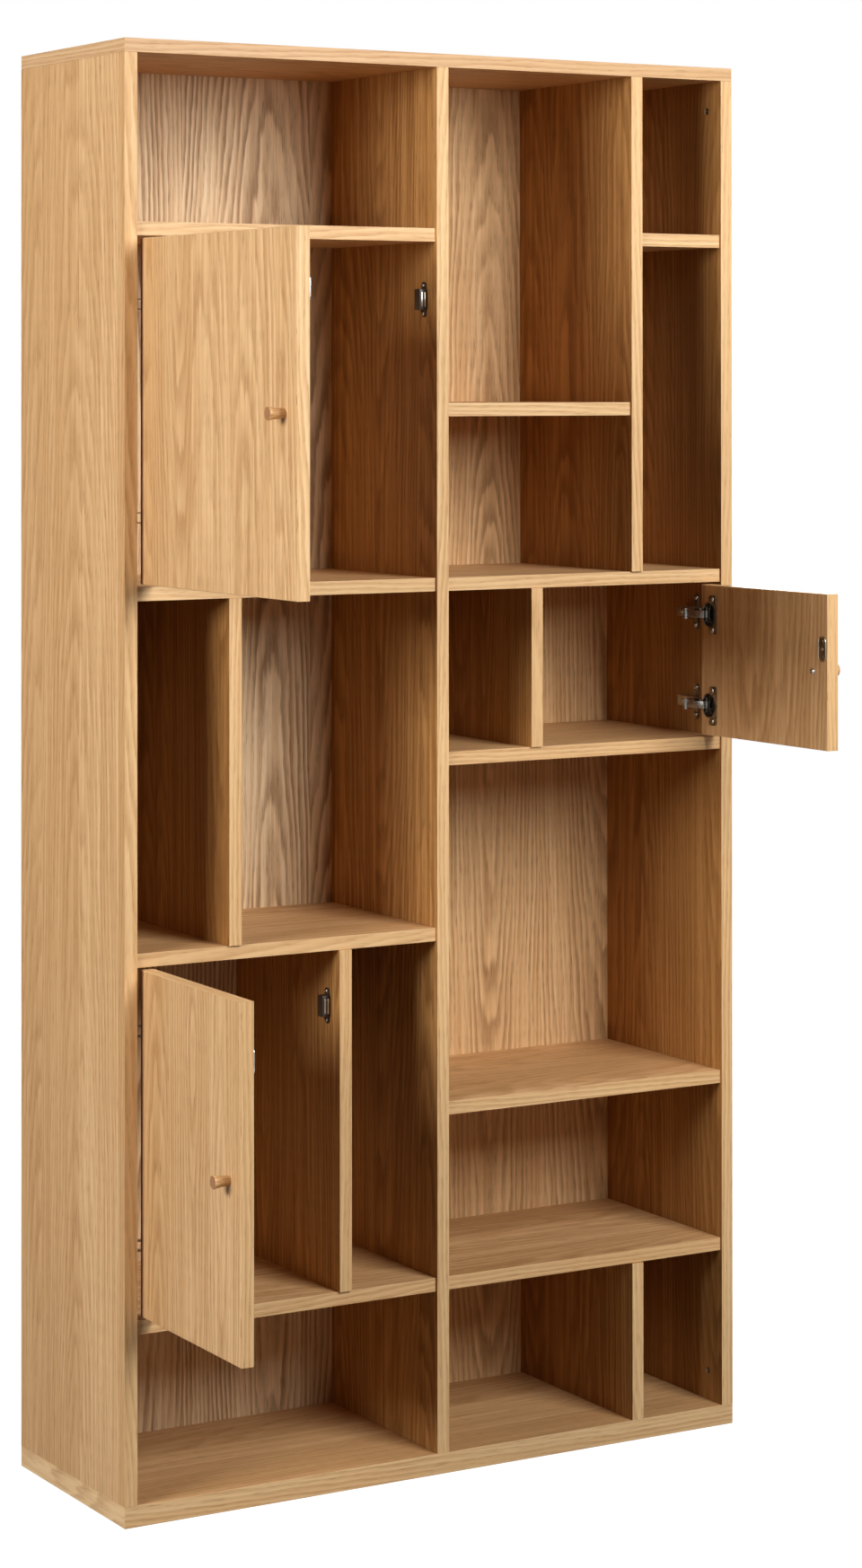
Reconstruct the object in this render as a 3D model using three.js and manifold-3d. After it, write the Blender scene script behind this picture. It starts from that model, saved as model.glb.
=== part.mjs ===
// Oak bookcase with three inset cabinet doors on concealed hinges.
// Millimetres, +Z up. The front faces -Y, and the origin is the middle of the underside.
import * as THREE from 'three';
import { mergeVertices } from 'three/addons/utils/BufferGeometryUtils.js';
import Module from 'manifold-3d';

const wasm = await Module();
wasm.setup();

// Overall sizes
const height = 2000;
const width = 990;
const depth = 340;

// Boards
const board = 19;
const bottomBoard = 29;
const shelfSetback = 4;
const rowCount = 8;

// Back panels, held in grooves
const backPanel = 8;
const backInset = 22;
const grooveDepth = 6;
const groovePlay = 0.15;

// Clear widths of the bays that the short dividers make
const narrowBay = 138.5;
const doorBay = 310;

// Doors
const hingeGap = 3;
const closingGap = 2;
const doorEndGap = 3.5;
const doorEase = 0.8;
const seatPlay = 0.1;
const openAngle = 91;
const smallHingeInset = 43.5;
const tallHingeInset = 88.5;

// Where the door's hinge-side front corner stands when the door is open
const openCornerIn = 9.5;
const openCornerBack = 10.5;

// Hinge cup, sunk in the door
const cupRadius = 17.5;
const cupDepth = 12.5;
const cupWall = 1;
const cupEdgeDistance = 3;
const cupPlay = 0.3;
const rimThickness = 1.2;
const flangeRim = 1;
const flangeScrewSpacing = 45;
const flangeScrewOffset = 9.5;
const flangeLength = 57;
const flangeInnerEdge = 1;
const flangeCornerRadius = 4;
const flangePlateThickness = 2;

// Hinge link, between the arm and the cup
const cupPivotInset = 7.5;
const cupPivotDepth = 4;
const armPivotOffset = 32;
const linkHeight = 11;
const linkThickness = 1.6;
const linkEyeRadius = 3.2;
const linkKnuckleRadius = 2.2;
const linkElbowIn = 9.5;
const linkElbowOut = 3.2;
const pinRadius = 1.4;
const cupPinRadius = 1;
const cupPinHalfLength = 10.4;
const pinPlay = 0.3;
const linkSidePlay = 0.5;

// Hinge arm and its mounting plate, on the side panel
const armSheet = 1.5;
const armNoseRadius = 4.5;
const armFlatRise = 15;
const armFrontDistance = 50;
const plateDistance = 63;
const armEndDistance = 94;
const armRearScrewFromEnd = 13;
const armFrontScrewDistance = 56;
const plateThickness = 3;
const wingSpacing = 40;
const wingRadius = 6.5;
const footHalfLength = 14;

// Screws
const screwHeadRadius = 3.6;
const screwHeadRise = 1.6;
const driveRadius = 1.5;
const driveDepth = 1;
const driveSides = 6;

// Knobs and their screws
const knobLength = 24;
const knobBaseRadius = 6.5;
const knobTipRadius = 9;
const knobEdge = 1.2;
const knobDome = 0.6;
const knobDomeShares = [0.5, 0.25];
const knobWaistShare = 0.25;
const knobFromEdge = 34.5;
const knobScrewRadius = 2;
const knobScrewGrip = 12;
const knobScrewHeadRadius = 5;
const knobScrewHeadRise = 3;
const knobScrewPlay = 0.25;

// Magnetic catches and their strike plates
const catchDrop = 77.5;
const strikeLength = 37;
const strikeWidth = 17;
const strikeThickness = 2;
const strikeFromEdge = 2;
const strikeScrewSpacing = 22;
const strikeSinkDepth = 1;
const strikeSinkRadius = 2.6;
const strikeSinkFootRadius = 1.5;
const catchBodyLength = 30;
const catchLength = 50;
const catchScrewSpacing = 40;
const catchDepth = 16;
const catchEarWidth = 10.5;
const catchRise = 13;
const catchEarThickness = 3;
const catchCornerRadius = 2.5;
const catchPoleLength = 21;
const catchPoleThickness = 2.4;
const catchPoleReach = 0.8;
const catchGap = 0.4;

// Connector fittings, sunk in the side panels near their ends
const fittingRadius = 5;
const fittingDepth = 8;
const fittingSunk = 0.8;
const fittingPlay = 0.3;
const fittingFromFront = 37;
const fittingFromEnd = 43;
const fittingSocketRadius = 2.4;
const fittingSocketDepth = 4;

// Extra length of a cutting solid past the face that it cuts
const overrun = 2;

// Points closer than this are one point
const weldDistance = 0.0003;

const roundSteps = 20;
const smallRoundSteps = 12;
const quarterSteps = 3;

// Places that follow from the sizes
const front = -depth / 2;
const rear = depth / 2;
const innerHalf = width / 2 - board;
const halfBoard = board / 2;
const underTop = height - board;
const backFront = rear - backInset - backPanel;
const shelfFront = front + shelfSetback;
const rowPitch = (underTop - bottomBoard + board) / rowCount;
const rowTop = (row) => bottomBoard + row * rowPitch;
const rowUnder = (row) => rowTop(row) - board;

const finishes = {
  oak: { color: 0xd9b07c, roughness: 0.55, metalness: 0 },
  oakBack: { color: 0xb48a5e, roughness: 0.6, metalness: 0 },
  oakKnob: { color: 0xd8a870, roughness: 0.5, metalness: 0 },
  nickel: { color: 0xb9b4a8, roughness: 0.3, metalness: 1 },
  zincPlate: { color: 0x9a9488, roughness: 0.4, metalness: 1 },
  catchPlastic: { color: 0x3a2a1e, roughness: 0.5, metalness: 0 },
};

const bookcase = new THREE.Group();
bookcase.name = 'bookcase';

// Solids and how they are joined and cut
function toSolid(source) {
  const bare = source.clone();
  bare.deleteAttribute('normal');
  bare.deleteAttribute('uv');
  const merged = mergeVertices(bare, weldDistance);
  const vertProperties = new Float32Array(merged.attributes.position.array);
  const corners = merged.index.array;
  const triVerts = [];
  for (let i = 0; i < corners.length; i += 3) {
    const [a, b, c] = [corners[i], corners[i + 1], corners[i + 2]];
    if (a !== b && b !== c && c !== a) triVerts.push(a, b, c);
  }
  return new wasm.Manifold(new wasm.Mesh({
    numProp: 3, vertProperties, triVerts: new Uint32Array(triVerts),
  }));
}

function toGeometry(solid) {
  const mesh = solid.getMesh();
  const geometry = new THREE.BufferGeometry();
  geometry.setAttribute('position', new THREE.BufferAttribute(mesh.vertProperties, 3));
  geometry.setIndex(new THREE.BufferAttribute(mesh.triVerts, 1));
  geometry.computeVertexNormals();
  return geometry;
}

function join(geometries) {
  return toGeometry(geometries.map(toSolid).reduce((sum, solid) => sum.add(solid)));
}

function cut(geometry, cutters) {
  return toGeometry(cutters.map(toSolid).reduce((rest, solid) => rest.subtract(solid), toSolid(geometry)));
}

function addPiece(parent, name, geometry, finish) {
  const mesh = new THREE.Mesh(geometry, new THREE.MeshStandardMaterial(finishes[finish]));
  mesh.name = name;
  parent.add(mesh);
  return mesh;
}

// A block between two corners
function block(x0, x1, y0, y1, z0, z1) {
  const box = new THREE.BoxGeometry(Math.abs(x1 - x0), Math.abs(y1 - y0), Math.abs(z1 - z0));
  return box.translate((x0 + x1) / 2, (y0 + y1) / 2, (z0 + z1) / 2);
}

// A flat outline in plan, made as thick as wanted about a middle height
function slab(shape, thickness, middle, steps = quarterSteps) {
  const options = { depth: thickness, bevelEnabled: false, curveSegments: steps };
  return new THREE.ExtrudeGeometry(shape, options).translate(0, 0, middle - thickness / 2);
}

// A profile of [radius, height] pairs turned about the Y axis
function turned(profile, steps = smallRoundSteps) {
  return new THREE.LatheGeometry(profile.map(([r, h]) => new THREE.Vector2(r, h)), steps);
}

// A quarter round from [r, h] outwards, as points for a turned profile
function quarterRound(centreR, centreH, radius, from, to) {
  return Array.from({ length: quarterSteps + 1 }, (_, i) => {
    const angle = THREE.MathUtils.degToRad(from + (to - from) * i / quarterSteps);
    return [centreR + radius * Math.cos(angle), centreH + radius * Math.sin(angle)];
  });
}

// The cutter for a screw's drive socket, below a head that rises along +Y
function driveCutter(rise) {
  const length = driveDepth + overrun;
  const cutter = new THREE.CylinderGeometry(driveRadius, driveRadius, length, driveSides);
  return cutter.translate(0, rise - driveDepth + length / 2, 0);
}

// A dome-headed screw on the plane y = 0, standing out along +Y
function screwHead(radius, rise, overlap) {
  const dome = Array.from({ length: quarterSteps + 1 }, (_, i) => {
    const angle = i / quarterSteps * Math.PI / 2;
    return [radius * Math.cos(angle), rise * Math.sin(angle)];
  });
  const head = turned([[0, -overlap], [radius, -overlap], ...dome.slice(0, -1), [0, rise]]);
  return cut(head, [driveCutter(rise)]);
}

// A strip with rounded ends that stands in the plane y = 0, long in Z
function uprightStrip(length, stripWidth, thickness) {
  const radius = stripWidth / 2;
  const straight = length / 2 - radius;
  const shape = new THREE.Shape();
  shape.absarc(0, straight, radius, 0, Math.PI, false);
  shape.absarc(0, -straight, radius, Math.PI, 2 * Math.PI, false);
  const options = { depth: thickness, bevelEnabled: false, curveSegments: 2 * quarterSteps };
  return new THREE.ExtrudeGeometry(shape, options).rotateX(Math.PI / 2).translate(0, thickness, 0);
}

// Carcass: the outer boards, the centre divider and the back panels
function groove(x0, x1, z0, z1) {
  return block(x0, x1, backFront - groovePlay, backFront + backPanel + groovePlay, z0, z1);
}

function fittingBore(side, z) {
  const deep = fittingDepth + fittingSunk + fittingPlay;
  const bore = new THREE.CylinderGeometry(
    fittingRadius + fittingPlay, fittingRadius + fittingPlay, deep + overrun, smallRoundSteps,
  );
  bore.rotateZ(Math.PI / 2);
  return bore.translate(side * (innerHalf + (deep - overrun) / 2), front + fittingFromFront, z);
}

const fittingHeights = {
  top: underTop - fittingFromEnd,
  bottom: bottomBoard + fittingFromEnd,
};
const grooveSpan = innerHalf + grooveDepth;

const topBoard = block(-width / 2, width / 2, front, rear, underTop, height);
const bottomPanel = block(-width / 2, width / 2, front, rear, 0, bottomBoard);
addPiece(bookcase, 'top_panel', cut(topBoard, [
  groove(-grooveSpan, -halfBoard + grooveDepth, underTop - overrun, underTop + grooveDepth),
  groove(halfBoard - grooveDepth, grooveSpan, underTop - overrun, underTop + grooveDepth),
]), 'oak');
addPiece(bookcase, 'bottom_panel', cut(bottomPanel, [
  groove(-grooveSpan, -halfBoard + grooveDepth, bottomBoard - grooveDepth, bottomBoard + overrun),
  groove(halfBoard - grooveDepth, grooveSpan, bottomBoard - grooveDepth, bottomBoard + overrun),
]), 'oak');

for (const [name, side] of [['left_side', -1], ['right_side', 1]]) {
  const panel = block(side * innerHalf, side * width / 2, front, rear, bottomBoard, underTop);
  const slot = groove(side * (innerHalf - overrun), side * grooveSpan, 0, height);
  const bores = Object.values(fittingHeights).map((z) => fittingBore(side, z));
  addPiece(bookcase, name, cut(panel, [slot, ...bores]), 'oak');
}

const centrePanel = block(-halfBoard, halfBoard, front, rear, bottomBoard, underTop);
addPiece(bookcase, 'centre_divider', cut(centrePanel, [
  groove(-halfBoard - overrun, -halfBoard + grooveDepth, 0, height),
  groove(halfBoard - grooveDepth, halfBoard + overrun, 0, height),
]), 'oak');

const panelHold = grooveDepth - groovePlay;
for (const [name, side] of [['left_back', -1], ['right_back', 1]]) {
  addPiece(bookcase, name, block(
    side * (halfBoard - panelHold), side * (innerHalf + panelHold),
    backFront, backFront + backPanel, bottomBoard - panelHold, underTop + panelHold,
  ), 'oakBack');
}

// Short dividers, each between two shelves or the outer boards
const narrowAt = innerHalf - narrowBay;
const doorAt = innerHalf - doorBay;
const dividers = [
  { name: 'left_wide_divider', side: -1, at: narrowAt, foot: rowTop(3), head: rowUnder(5) },
  { name: 'left_door_divider', side: -1, at: doorAt, foot: rowTop(1), head: rowUnder(3) },
  { name: 'right_bottom_divider', side: 1, at: narrowAt, foot: bottomBoard, head: rowUnder(1) },
  { name: 'right_door_divider', side: 1, at: doorAt, foot: rowTop(4), head: rowUnder(5) },
  { name: 'right_top_divider', side: 1, at: narrowAt, foot: rowTop(5), head: underTop },
];
for (const { name, side, at, foot, head } of dividers) {
  addPiece(bookcase, name, block(side * (at - board), side * at, front, backFront, foot, head), 'oak');
}

// Shelves, by column and row
const shelves = [
  { column: 'left', row: 1, from: -innerHalf, to: -halfBoard },
  { column: 'left', row: 3, from: -innerHalf, to: -halfBoard },
  { column: 'left', row: 5, from: -innerHalf, to: -halfBoard },
  { column: 'left', row: 7, from: -innerHalf, to: -halfBoard },
  { column: 'right', row: 1, from: halfBoard, to: innerHalf },
  { column: 'right', row: 2, from: halfBoard, to: innerHalf },
  { column: 'right', row: 4, from: halfBoard, to: innerHalf },
  { column: 'right', row: 5, from: halfBoard, to: innerHalf },
  { column: 'right', row: 6, from: halfBoard, to: narrowAt - board },
  { column: 'right', row: 7, from: narrowAt, to: innerHalf },
];
for (const { column, row, from, to } of shelves) {
  const shelf = block(from, to, shelfFront, backFront, rowUnder(row), rowTop(row));
  addPiece(bookcase, `${column}_shelf_${row}`, shelf, 'oak');
}

// Connector fittings in the side panels
for (const [sideName, side] of [['left', -1], ['right', 1]]) {
  for (const [endName, z] of Object.entries(fittingHeights)) {
    const body = turned([[0, 0], [fittingRadius, 0], [fittingRadius, fittingDepth], [0, fittingDepth]]);
    const socket = new THREE.CylinderGeometry(
      fittingSocketRadius, fittingSocketRadius, fittingSocketDepth + overrun, driveSides,
    );
    socket.translate(0, fittingDepth - fittingSocketDepth + (fittingSocketDepth + overrun) / 2, 0);
    const fitting = cut(body, [socket]).rotateZ(side * Math.PI / 2);
    const seat = side * (innerHalf + fittingSunk + fittingDepth);
    addPiece(bookcase, `${sideName}_${endName}_fitting`,
      fitting.translate(seat, front + fittingFromFront, z), 'nickel');
  }
}

// Hinge plan. u runs from the side panel into the bay and v runs back from the front plane.
const turnBy = (u, v, degrees) => {
  const angle = THREE.MathUtils.degToRad(degrees);
  return [u * Math.cos(angle) - v * Math.sin(angle), u * Math.sin(angle) + v * Math.cos(angle)];
};
const doorFaceClosed = shelfSetback;
const pivotFromCorner = [cupPivotInset, board - cupPivotDepth];
const cupPivotClosed = [hingeGap + pivotFromCorner[0], doorFaceClosed + pivotFromCorner[1]];
const openOffset = turnBy(pivotFromCorner[0], pivotFromCorner[1], -openAngle);
const cupPivotOpen = [openCornerIn + openOffset[0], openCornerBack + openOffset[1]];

// The arm's pivot is as far from the cup's pivot with the door open as with it closed
const chord = [cupPivotOpen[0] - cupPivotClosed[0], cupPivotOpen[1] - cupPivotClosed[1]];
const chordLength = Math.hypot(...chord);
const armPivot = [
  (cupPivotOpen[0] + cupPivotClosed[0]) / 2 - chord[1] / chordLength * armPivotOffset,
  (cupPivotOpen[1] + cupPivotClosed[1]) / 2 + chord[0] / chordLength * armPivotOffset,
];
const elbowOffset = turnBy(linkElbowIn, board + linkElbowOut, -openAngle);
const linkElbow = [openCornerIn + elbowOffset[0], openCornerBack + elbowOffset[1]];

// A strip of even thickness about a bent centre line, in plan, with mitred bends
function bentStrip(line, thickness, hand) {
  const half = thickness / 2;
  const directions = line.slice(1).map(([u, v], i) => {
    const [du, dv] = [u - line[i][0], v - line[i][1]];
    return [du / Math.hypot(du, dv), dv / Math.hypot(du, dv)];
  });
  const offset = (side) => line.map(([u, v], i) => {
    const before = directions[Math.max(i - 1, 0)];
    const after = directions[Math.min(i, directions.length - 1)];
    const normal = [-(before[1] + after[1]), before[0] + after[0]];
    const size = Math.hypot(...normal);
    const reach = side * half / ((normal[0] * -before[1] + normal[1] * before[0]) / size);
    return new THREE.Vector2(hand * (u + normal[0] / size * reach), v + normal[1] / size * reach);
  });
  return new THREE.Shape([...offset(1), ...offset(-1).reverse()]);
}

function disc([u, v], radius, hand) {
  const shape = new THREE.Shape();
  shape.absarc(hand * u, v, radius, 0, 2 * Math.PI, false);
  return shape;
}

// The link is bent so that it clears the door's edge when the door is open
function linkGeometry(hand) {
  const line = [armPivot, linkElbow, cupPivotOpen];
  const strip = slab(bentStrip(line, linkThickness, hand), linkHeight, 0);
  const eye = slab(disc(armPivot, linkEyeRadius, hand), linkHeight, 0);
  const knuckle = slab(disc(cupPivotOpen, linkKnuckleRadius, hand), linkHeight, 0);
  const holes = [[armPivot, pinRadius], [cupPivotOpen, cupPinRadius]].map(([at, radius]) => (
    slab(disc(at, radius + pinPlay, hand), linkHeight + overrun, 0)
  ));
  return cut(join([strip, eye, knuckle]), holes);
}

// Arm: a cranked channel whose two cheeks carry the pin, on a cross-shaped plate
function armGeometry(hand) {
  const [pivotIn, pivotBack] = armPivot;
  const cheek = new THREE.Shape();
  const at = (u, v) => [hand * u, v];
  cheek.moveTo(...at(plateThickness, armEndDistance));
  cheek.lineTo(...at(armFlatRise - armSheet, armEndDistance));
  cheek.quadraticCurveTo(...at(armFlatRise, armEndDistance), ...at(armFlatRise, armEndDistance - armSheet));
  cheek.lineTo(...at(armFlatRise, armFrontDistance + armNoseRadius));
  cheek.quadraticCurveTo(
    ...at(armFlatRise, armFrontDistance),
    ...at(armFlatRise + armNoseRadius, armFrontDistance - armNoseRadius),
  );
  cheek.lineTo(...at(pivotIn + armNoseRadius, pivotBack + armNoseRadius / 2));
  cheek.quadraticCurveTo(
    ...at(pivotIn + armNoseRadius, pivotBack - armNoseRadius),
    ...at(pivotIn - armNoseRadius / 2, pivotBack - armNoseRadius),
  );
  cheek.quadraticCurveTo(
    ...at(plateThickness + armNoseRadius, pivotBack + armNoseRadius),
    ...at(plateThickness, armFrontDistance - armNoseRadius),
  );
  cheek.closePath();
  const hollowHeight = linkHeight + 2 * linkSidePlay;
  const fullHeight = hollowHeight + 2 * armSheet;
  const channel = slab(cheek, fullHeight, 0);
  const hollowUnder = armFlatRise - armSheet;
  const hollow = block(
    0, hand * hollowUnder, armFrontDistance - overrun, armEndDistance - armSheet,
    -hollowHeight / 2, hollowHeight / 2,
  );
  const mouth = block(
    0, hand * (pivotIn + 2 * armNoseRadius), 0, armFrontDistance, -hollowHeight / 2, hollowHeight / 2,
  );
  const pin = slab(disc(armPivot, pinRadius, hand), fullHeight, 0);
  const foot = block(
    0, hand * (plateThickness + armSheet), plateDistance - footHalfLength, armEndDistance - armSheet / 2,
    -fullHeight / 2, fullHeight / 2,
  );
  const wings = uprightStrip(wingSpacing + 2 * wingRadius, 2 * wingRadius, plateThickness);
  wings.rotateZ(-hand * Math.PI / 2).translate(0, plateDistance, 0);
  const heads = [
    [plateThickness, plateDistance, wingSpacing / 2],
    [plateThickness, plateDistance, -wingSpacing / 2],
    [armFlatRise, armFrontScrewDistance, 0],
    [armFlatRise, armEndDistance - armRearScrewFromEnd, 0],
  ].map(([u, v, z]) => screwHead(screwHeadRadius, screwHeadRise, armSheet / 2)
    .rotateZ(-hand * Math.PI / 2).translate(hand * u, v, z));
  return join([cut(channel, [hollow, mouth]), pin, foot, wings, ...heads]);
}

// The cup's flange: a plate on the plane y = 0 with rounded corners, straight along its far edge
function flangeGeometry(hand) {
  const shape = new THREE.Shape();
  const [near, far, end, r] = [flangeInnerEdge, cupRadius + flangeRim, flangeLength / 2, flangeCornerRadius];
  shape.moveTo(hand * (near + r), -end);
  shape.lineTo(hand * (far - r), -end);
  shape.quadraticCurveTo(hand * far, -end, hand * far, -end + r);
  shape.lineTo(hand * far, end - r);
  shape.quadraticCurveTo(hand * far, end, hand * (far - r), end);
  shape.lineTo(hand * (near + r), end);
  shape.quadraticCurveTo(hand * near, end, hand * near, end - r);
  shape.lineTo(hand * near, -end + r);
  shape.quadraticCurveTo(hand * near, -end, hand * (near + r), -end);
  const options = { depth: flangePlateThickness, bevelEnabled: false, curveSegments: quarterSteps };
  return new THREE.ExtrudeGeometry(shape, options)
    .rotateX(Math.PI / 2).translate(0, flangePlateThickness, 0);
}

// Cup: a turned bowl with a flange, two screws and a pin. Its mouth is on the plane y = 0.
function cupGeometry(hand) {
  const bowl = turned([
    [0, -cupDepth], [cupRadius - cupWall, -cupDepth], [cupRadius, -cupDepth + cupWall],
    [cupRadius, 0], [cupRadius + flangeRim, 0], [cupRadius + flangeRim, rimThickness],
    [cupRadius - cupWall, rimThickness], [cupRadius - cupWall, -cupDepth + 2 * cupWall],
    [cupRadius - 2 * cupWall, -cupDepth + cupWall], [0, -cupDepth + cupWall],
  ], roundSteps);
  const mouth = new THREE.CylinderGeometry(
    cupRadius - cupWall, cupRadius - cupWall, flangePlateThickness + overrun, roundSteps,
  ).translate(0, flangePlateThickness / 2, 0);
  const heads = [1, -1].map((end) => screwHead(screwHeadRadius, screwHeadRise, flangePlateThickness / 2)
    .translate(hand * flangeScrewOffset, flangePlateThickness, end * flangeScrewSpacing / 2));
  const pin = new THREE.CylinderGeometry(
    cupPinRadius, cupPinRadius, 2 * cupPinHalfLength, smallRoundSteps,
  );
  pin.rotateX(Math.PI / 2);
  pin.translate(hand * (cupPivotInset - cupEdgeDistance - cupRadius), -cupPivotDepth - seatPlay, 0);
  return join([bowl, cut(flangeGeometry(hand), [mouth]), pin, ...heads]);
}

// Knob: tapered, with a soft edge and a slightly domed end. It stands out along +Y.
function knobGeometry() {
  const waist = knobBaseRadius + (knobTipRadius - knobBaseRadius) * knobWaistShare;
  const [domeRadiusShare, domeDropShare] = knobDomeShares;
  const bore = knobScrewRadius + knobScrewPlay;
  return turned([
    [0, knobScrewGrip + knobScrewPlay], [bore, knobScrewGrip + knobScrewPlay], [bore, 0],
    [knobBaseRadius, 0], [waist, knobLength / 2],
    ...quarterRound(knobTipRadius - knobEdge, knobLength - knobEdge - knobDome, knobEdge, 0, 90),
    [knobTipRadius * domeRadiusShare, knobLength - knobDome * domeDropShare], [0, knobLength],
  ], roundSteps);
}

function knobScrewGeometry() {
  const shank = board + knobScrewGrip;
  const dome = Array.from({ length: quarterSteps }, (_, i) => {
    const angle = i / quarterSteps * Math.PI / 2;
    return [knobScrewHeadRadius * Math.cos(angle), knobScrewHeadRise * Math.sin(angle)];
  });
  const body = turned([
    [0, -shank], [knobScrewRadius, -shank], [knobScrewRadius, 0], ...dome, [0, knobScrewHeadRise],
  ]);
  return cut(body, [driveCutter(knobScrewHeadRise)]);
}

// Strike plate: an oblong plate with two sunk holes, standing out along +Y
function strikeGeometry() {
  const plate = uprightStrip(strikeLength, strikeWidth, strikeThickness);
  const sinkFoot = strikeThickness - strikeSinkDepth;
  const sinks = [1, -1].map((end) => turned([
    [0, sinkFoot], [strikeSinkFootRadius, sinkFoot], [strikeSinkRadius, strikeThickness],
    [strikeSinkRadius, strikeThickness + overrun], [0, strikeThickness + overrun],
  ]).translate(0, 0, end * strikeScrewSpacing / 2));
  return cut(plate, sinks);
}

// Catch: a moulded body with two ears and two steel poles that face the front
function catchGeometry(hand) {
  const outline = new THREE.Shape();
  const r = catchCornerRadius;
  outline.moveTo(0, 0);
  outline.lineTo(hand * (catchRise - r), 0);
  outline.quadraticCurveTo(hand * catchRise, 0, hand * catchRise, r);
  outline.lineTo(hand * catchRise, catchDepth - r);
  outline.quadraticCurveTo(hand * catchRise, catchDepth, hand * (catchRise - r), catchDepth);
  outline.lineTo(0, catchDepth);
  outline.closePath();
  const body = slab(outline, catchBodyLength, 0);
  const ears = uprightStrip(catchLength, catchEarWidth, catchEarThickness);
  ears.rotateZ(-hand * Math.PI / 2).translate(0, catchDepth / 2, 0);
  const poles = [-1, 1].map((side) => {
    const middle = catchRise / 2 + side * catchPoleThickness;
    return block(
      hand * (middle - catchPoleThickness / 2), hand * (middle + catchPoleThickness / 2),
      -catchPoleReach, catchPoleReach, -catchPoleLength / 2, catchPoleLength / 2,
    );
  });
  const heads = [1, -1].map((end) => screwHead(screwHeadRadius, screwHeadRise, catchEarThickness / 2)
    .rotateZ(-hand * Math.PI / 2)
    .translate(hand * catchEarThickness, catchDepth / 2, end * catchScrewSpacing / 2));
  return join([body, ears, ...poles, ...heads]);
}

// A door with its hardware. hand is 1 for a door hung on its left and -1 on its right.
function addDoor({ name, hand, bay, foot, head, hingeInset }) {
  const sideFace = -hand * innerHalf;
  const doorWidth = bay - hingeGap - closingGap;
  const doorHeight = head - foot - 2 * doorEndGap;
  const middle = (foot + head) / 2;
  const hingeHeights = { lower: -doorHeight / 2 + hingeInset, upper: doorHeight / 2 - hingeInset };

  // Links, fixed to the carcass by the arm's pin
  for (const [end, z] of Object.entries(hingeHeights)) {
    addPiece(bookcase, `${name}_${end}_link`,
      linkGeometry(hand).translate(sideFace, front, middle + z), 'nickel');
    addPiece(bookcase, `${name}_${end}_hinge_arm`,
      armGeometry(hand).translate(sideFace, front, middle + z), 'zincPlate');
  }

  // The door's own frame has the cup's pivot as its origin, with the door closed
  const leaf = new THREE.Group();
  leaf.name = `${name}_leaf`;
  leaf.position.set(sideFace + hand * cupPivotOpen[0], front + cupPivotOpen[1], middle);
  leaf.rotation.z = THREE.MathUtils.degToRad(-hand * openAngle);
  bookcase.add(leaf);
  const across = (s) => hand * (s - cupPivotInset);
  const outerFace = cupPivotDepth - board;
  const innerFace = cupPivotDepth;

  const outline = new THREE.Shape([
    new THREE.Vector2(across(doorEase), -doorHeight / 2 + doorEase),
    new THREE.Vector2(across(doorWidth - doorEase), -doorHeight / 2 + doorEase),
    new THREE.Vector2(across(doorWidth - doorEase), doorHeight / 2 - doorEase),
    new THREE.Vector2(across(doorEase), doorHeight / 2 - doorEase),
  ]);
  const panel = new THREE.ExtrudeGeometry(outline, {
    depth: board - 2 * doorEase, bevelEnabled: true, bevelSize: doorEase,
    bevelThickness: doorEase, bevelSegments: 1,
  }).rotateX(Math.PI / 2).translate(0, innerFace - doorEase, 0);
  const cupIn = cupEdgeDistance + cupRadius;
  const cupBores = Object.values(hingeHeights).map((z) => {
    const deep = cupDepth + cupPlay;
    const bore = new THREE.CylinderGeometry(
      cupRadius + cupPlay, cupRadius + cupPlay, deep + overrun, roundSteps,
    );
    return bore.translate(across(cupIn), innerFace + (overrun - deep) / 2, z);
  });
  const knobIn = doorWidth - knobFromEdge;
  const screwHole = new THREE.CylinderGeometry(
    knobScrewRadius + knobScrewPlay, knobScrewRadius + knobScrewPlay, board + 2 * overrun, smallRoundSteps,
  ).translate(across(knobIn), (innerFace + outerFace) / 2, 0);
  addPiece(leaf, name, cut(panel, [...cupBores, screwHole]), 'oak');

  for (const [end, z] of Object.entries(hingeHeights)) {
    addPiece(leaf, `${name}_${end}_hinge_cup`,
      cupGeometry(hand).translate(across(cupIn), innerFace + seatPlay, z), 'nickel');
  }
  addPiece(leaf, `${name}_knob`,
    knobGeometry().rotateX(Math.PI).translate(across(knobIn), outerFace - seatPlay, 0), 'oakKnob');
  addPiece(leaf, `${name}_knob_screw`,
    knobScrewGeometry().translate(across(knobIn), innerFace + seatPlay, 0), 'nickel');
  const strikeIn = doorWidth - strikeFromEdge - strikeWidth / 2;
  const strikeUp = doorHeight / 2 - catchDrop;
  addPiece(leaf, `${name}_strike_plate`,
    strikeGeometry().translate(across(strikeIn), innerFace + seatPlay, strikeUp), 'nickel');

  // The catch sits on the divider across the bay and meets the strike plate of the closed door
  const plateFace = doorFaceClosed + board + seatPlay + strikeThickness;
  const catchFront = front + plateFace + catchGap + catchPoleReach;
  addPiece(bookcase, `${name}_catch`, catchGeometry(-hand).translate(
    sideFace + hand * bay, catchFront, middle + strikeUp,
  ), 'catchPlastic');
}

const doors = [
  {
    name: 'upper_door', hand: 1, bay: innerHalf - halfBoard,
    foot: rowTop(5), head: rowUnder(7), hingeInset: tallHingeInset,
  },
  {
    name: 'lower_door', hand: 1, bay: doorBay,
    foot: rowTop(1), head: rowUnder(3), hingeInset: tallHingeInset,
  },
  {
    name: 'small_door', hand: -1, bay: doorBay,
    foot: rowTop(4), head: rowUnder(5), hingeInset: smallHingeInset,
  },
];
doors.forEach(addDoor);

export default bookcase;
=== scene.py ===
"""Oak bookcase with three cabinet doors: finishes, fine hardware, light and camera."""
import math

import bmesh
import bpy
from mathutils import Matrix, Vector


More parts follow.
